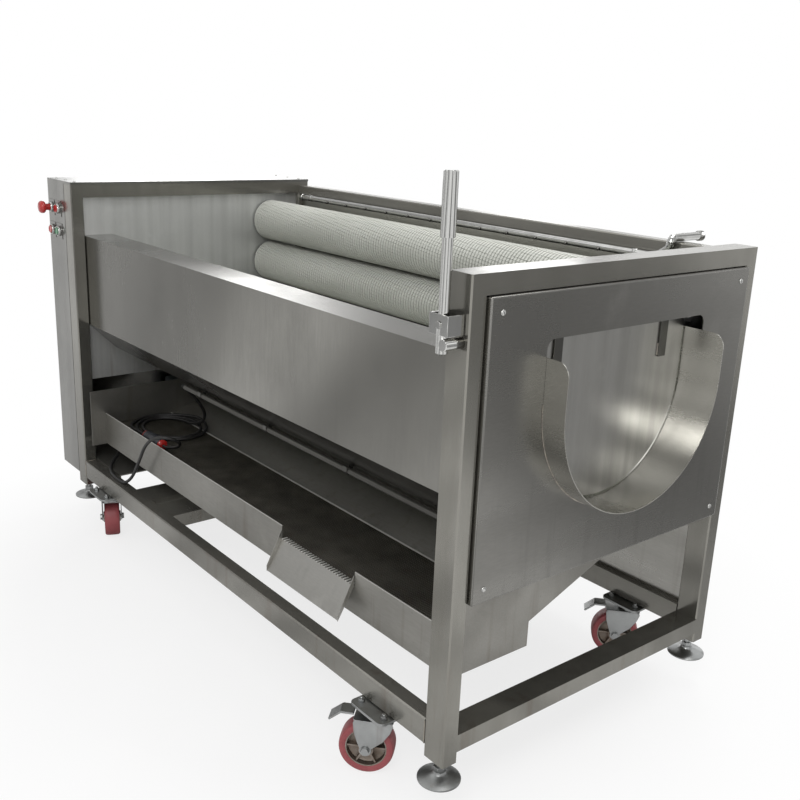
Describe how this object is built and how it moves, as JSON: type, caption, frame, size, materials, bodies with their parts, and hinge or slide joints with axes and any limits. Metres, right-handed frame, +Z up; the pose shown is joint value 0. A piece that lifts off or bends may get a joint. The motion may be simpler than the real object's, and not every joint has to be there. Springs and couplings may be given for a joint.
{
  "type": "roller vegetable washer",
  "caption": "Brush-roller vegetable washer: stainless frame on braked swivel casters, U-shaped outlet with lever gate, catch tray and drive housing.",
  "frame": {"origin": "middle of the foot print on the floor, cords left out", "axes": "+X along the rollers towards the outlet, +Y from the operator's side to the far side, +Z up"},
  "size_m": [2.1152, 1.0348, 1.318],
  "materials": {
    "stainless": "satin stainless sheet and tube",
    "brushed_stainless": "vertically brushed stainless sheet",
    "zinc": "zinc plated pressed steel",
    "brush_fibre": "pale nylon bristle",
    "red_tyre": "smooth red polyurethane",
    "grey_paint": "semi-gloss paint",
    "black_plastic": "moulded",
    "red_plastic": "glossy moulded",
    "green_plastic": "glossy moulded",
    "black_rubber": "cable sheath",
    "dark_steel": "dark oiled steel"
  },
  "bodies": {
    "frame": {"outlet_portal": "stainless", "drive_portal": "stainless", "base_frame": "stainless", "top_rail": "stainless", "near_panel": "stainless", "back_panel": "stainless", "drive_end_wall": "brushed_stainless", "outlet_end_wall": "stainless", "outlet_plate": "stainless", "discharge_lip": "stainless", "roller_chain": "dark_steel", "motor_chain": "dark_steel", "motor": "grey_paint", "gearbox": "grey_paint", "motor_shelf": "stainless", "housing_shell": "stainless", "housing_door": "stainless", "catch_tray": "stainless", "tray_screen": "dark_steel", "discharge_chute": "stainless", "spray_pipe": "stainless", "conduit": "stainless", "caster_plate_1": "zinc", "caster_plate_2": "zinc", "caster_plate_3": "zinc", "caster_plate_4": "zinc", "cord_supply": "black_rubber", "cord_loops": "black_rubber", "cord_coupler": "black_plastic", "cord_gland": "black_plastic"},
    "roller_1": {"brush_roller_1": "brush_fibre"},
    "roller_2": {"brush_roller_2": "brush_fibre"},
    "roller_3": {"brush_roller_3": "brush_fibre"},
    "roller_4": {"brush_roller_4": "brush_fibre"},
    "roller_5": {"brush_roller_5": "brush_fibre"},
    "roller_6": {"brush_roller_6": "brush_fibre"},
    "roller_7": {"brush_roller_7": "brush_fibre"},
    "roller_8": {"brush_roller_8": "brush_fibre"},
    "drive_output": {"drive_sprocket": "dark_steel"},
    "gate": {"gate_flap": "brushed_stainless", "gate_shaft": "stainless", "gate_lever": "stainless"},
    "caster_swivel_1": {"caster_fork_1": "zinc"},
    "caster_wheel_body_1": {"caster_wheel_1": "red_tyre"},
    "brake_1": {"brake_pedal_1": "zinc"},
    "caster_swivel_2": {"caster_fork_2": "zinc"},
    "caster_wheel_body_2": {"caster_wheel_2": "red_tyre"},
    "brake_2": {"brake_pedal_2": "zinc"},
    "caster_swivel_3": {"caster_fork_3": "zinc"},
    "caster_wheel_body_3": {"caster_wheel_3": "red_tyre"},
    "caster_swivel_4": {"caster_fork_4": "zinc"},
    "caster_wheel_body_4": {"caster_wheel_4": "red_tyre"},
    "e_stop_body": {"e_stop": "red_plastic"},
    "red_button_body": {"red_button": "red_plastic"},
    "stop_button_body": {"stop_button": "red_plastic"},
    "green_button_body": {"green_button": "green_plastic"},
    "foot_body_1": {"foot_1": "zinc"},
    "foot_body_2": {"foot_2": "zinc"},
    "foot_body_3": {"foot_3": "zinc"},
    "foot_body_4": {"foot_4": "zinc"}
  },
  "joints": [
    {"name": "roller_1_spin", "type": "hinge", "parent": "frame", "child": "roller_1", "pos_m": [0.02765, -0.29065, 0.863], "axis": [1, 0, 0], "continuous": true},
    {"name": "roller_2_spin", "type": "hinge", "parent": "frame", "child": "roller_2", "pos_m": [0.02765, -0.25139, 0.7165], "axis": [1, 0, 0], "continuous": true},
    {"name": "roller_3_spin", "type": "hinge", "parent": "frame", "child": "roller_3", "pos_m": [0.02765, -0.14415, 0.60925], "axis": [1, 0, 0], "continuous": true},
    {"name": "roller_4_spin", "type": "hinge", "parent": "frame", "child": "roller_4", "pos_m": [0.02765, 0.00235, 0.57], "axis": [1, 0, 0], "continuous": true},
    {"name": "roller_5_spin", "type": "hinge", "parent": "frame", "child": "roller_5", "pos_m": [0.02765, 0.14885, 0.60925], "axis": [1, 0, 0], "continuous": true},
    {"name": "roller_6_spin", "type": "hinge", "parent": "frame", "child": "roller_6", "pos_m": [0.02765, 0.2561, 0.7165], "axis": [1, 0, 0], "continuous": true},
    {"name": "roller_7_spin", "type": "hinge", "parent": "frame", "child": "roller_7", "pos_m": [0.02765, 0.29535, 0.863], "axis": [1, 0, 0], "continuous": true},
    {"name": "roller_8_spin", "type": "hinge", "parent": "frame", "child": "roller_8", "pos_m": [0.02765, 0.29535, 1.01], "axis": [1, 0, 0], "continuous": true},
    {"name": "drive_output_spin", "type": "hinge", "parent": "frame", "child": "drive_output", "pos_m": [-0.94235, 0.00235, 0.365], "axis": [1, 0, 0], "continuous": true},
    {"name": "gate_hinge", "type": "hinge", "parent": "frame", "child": "gate", "pos_m": [0.96965, 0.00235, 1.019], "axis": [0, -1, 0], "range_deg": [0, 75]},
    {"name": "caster_1_swivel", "type": "hinge", "parent": "frame", "child": "caster_swivel_1", "pos_m": [0.77265, -0.42315, 0.1537], "axis": [0, 0, 1], "continuous": true},
    {"name": "caster_1_wheel", "type": "hinge", "parent": "caster_swivel_1", "child": "caster_wheel_body_1", "pos_m": [0.74754, -0.44607, 0.0625], "axis": [-0.6743, 0.7385, 0], "continuous": true},
    {"name": "brake_pedal_1_press", "type": "hinge", "parent": "caster_swivel_1", "child": "brake_1", "pos_m": [0.72391, -0.46765, 0.1423], "axis": [0.6743, -0.7385, 0], "range_deg": [0, 20]},
    {"name": "caster_2_swivel", "type": "hinge", "parent": "frame", "child": "caster_swivel_2", "pos_m": [0.77265, 0.42735, 0.1537], "axis": [0, 0, 1], "continuous": true},
    {"name": "caster_2_wheel", "type": "hinge", "parent": "caster_swivel_2", "child": "caster_wheel_body_2", "pos_m": [0.74754, 0.40443, 0.0625], "axis": [-0.6743, 0.7385, 0], "continuous": true},
    {"name": "brake_pedal_2_press", "type": "hinge", "parent": "caster_swivel_2", "child": "brake_2", "pos_m": [0.72391, 0.38285, 0.1423], "axis": [0.6743, -0.7385, 0], "range_deg": [0, 20]},
    {"name": "caster_3_swivel", "type": "hinge", "parent": "frame", "child": "caster_swivel_3", "pos_m": [-0.69635, -0.42315, 0.1537], "axis": [0, 0, 1], "continuous": true},
    {"name": "caster_3_wheel", "type": "hinge", "parent": "caster_swivel_3", "child": "caster_wheel_body_3", "pos_m": [-0.72774, -0.41008, 0.0625], "axis": [0.3843, 0.9232, 0], "continuous": true},
    {"name": "caster_4_swivel", "type": "hinge", "parent": "frame", "child": "caster_swivel_4", "pos_m": [-0.69635, 0.42735, 0.1537], "axis": [0, 0, 1], "continuous": true},
    {"name": "caster_4_wheel", "type": "hinge", "parent": "caster_swivel_4", "child": "caster_wheel_body_4", "pos_m": [-0.72774, 0.44042, 0.0625], "axis": [0.3843, 0.9232, 0], "continuous": true},
    {"name": "e_stop_push", "type": "slide", "parent": "frame", "child": "e_stop_body", "axis": [0, 1, 0], "range_m": [0, 0.004], "stiffness_N_per_m": 600, "springref_m": -0.002},
    {"name": "red_button_push", "type": "slide", "parent": "frame", "child": "red_button_body", "axis": [0, 1, 0], "range_m": [0, 0.004], "stiffness_N_per_m": 600, "springref_m": -0.002},
    {"name": "stop_button_push", "type": "slide", "parent": "frame", "child": "stop_button_body", "axis": [0, 1, 0], "range_m": [0, 0.004], "stiffness_N_per_m": 600, "springref_m": -0.002},
    {"name": "green_button_push", "type": "slide", "parent": "frame", "child": "green_button_body", "axis": [0, 1, 0], "range_m": [0, 0.004], "stiffness_N_per_m": 600, "springref_m": -0.002},
    {"name": "foot_1_level", "type": "slide", "parent": "frame", "child": "foot_body_1", "axis": [0, 0, -1], "range_m": [0, 0.091]},
    {"name": "foot_2_level", "type": "slide", "parent": "frame", "child": "foot_body_2", "axis": [0, 0, -1], "range_m": [0, 0.091]},
    {"name": "foot_3_level", "type": "slide", "parent": "frame", "child": "foot_body_3", "axis": [0, 0, -1], "range_m": [0, 0.091]},
    {"name": "foot_4_level", "type": "slide", "parent": "frame", "child": "foot_body_4", "axis": [0, 0, -1], "range_m": [0, 0.091]}
  ],
  "couplings": [
    {"joint": "roller_1_spin", "follows": "roller_4_spin", "ratio": 1},
    {"joint": "roller_2_spin", "follows": "roller_4_spin", "ratio": 1},
    {"joint": "roller_3_spin", "follows": "roller_4_spin", "ratio": 1},
    {"joint": "roller_5_spin", "follows": "roller_4_spin", "ratio": 1},
    {"joint": "roller_6_spin", "follows": "roller_4_spin", "ratio": 1},
    {"joint": "roller_7_spin", "follows": "roller_4_spin", "ratio": 1},
    {"joint": "roller_8_spin", "follows": "roller_4_spin", "ratio": 1},
    {"joint": "drive_output_spin", "follows": "roller_4_spin", "ratio": 1}
  ]
}
